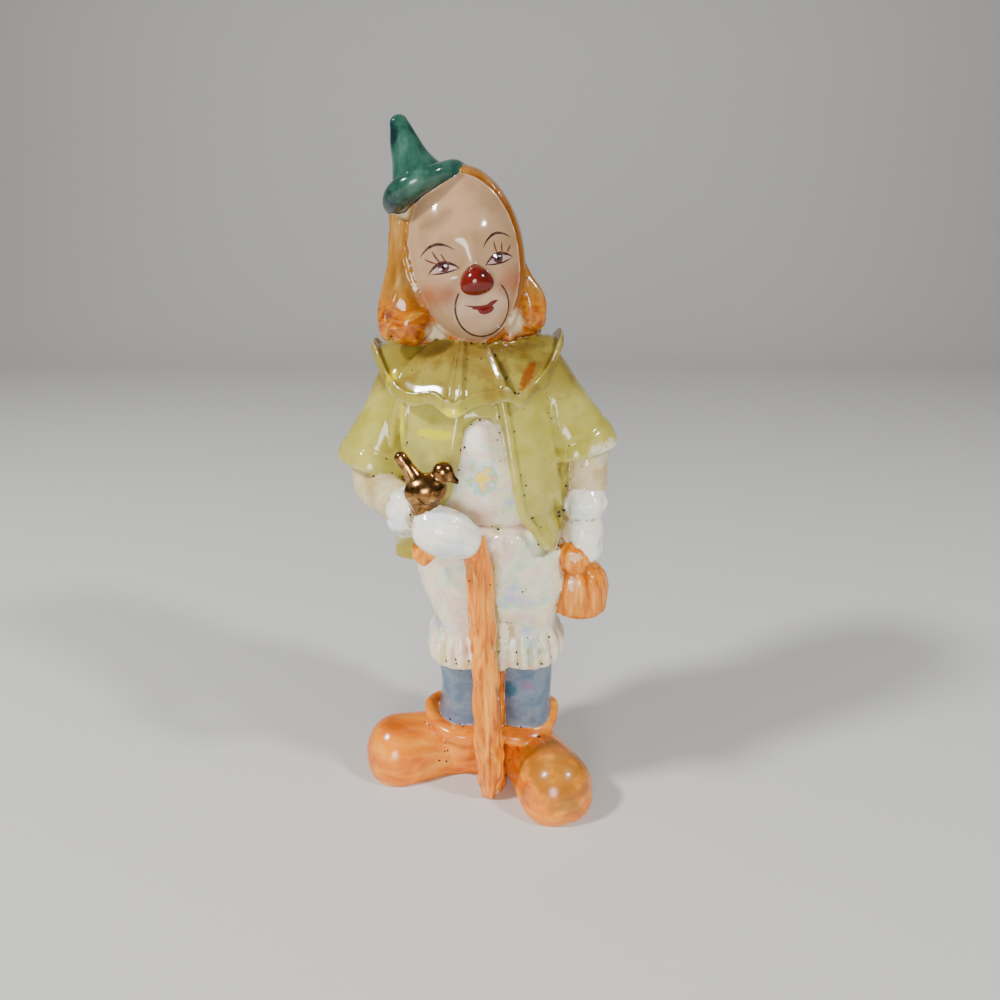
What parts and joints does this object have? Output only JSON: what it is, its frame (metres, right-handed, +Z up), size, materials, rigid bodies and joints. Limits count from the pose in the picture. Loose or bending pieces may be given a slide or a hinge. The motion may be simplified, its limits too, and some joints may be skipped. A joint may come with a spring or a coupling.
{
  "type": "clown figurine",
  "caption": "Glazed lustre porcelain clown with hat, pleated ruff, cape sleeves, cane, small bird and bundle, standing on large round-toed shoes.",
  "frame": {"origin": "point on the flat underside of the shoes, below and between the two ankles", "axes": "+Z up the figure towards the hat, -Y the way the body faces, +X towards the hand that holds the bundle"},
  "size_m": [0.094, 0.0674, 0.2293],
  "materials": {
    "glazed_porcelain": "glossy lustre glaze"
  },
  "bodies": {
    "root": {"clown_figurine": "glazed_porcelain"}
  },
  "joints": []
}
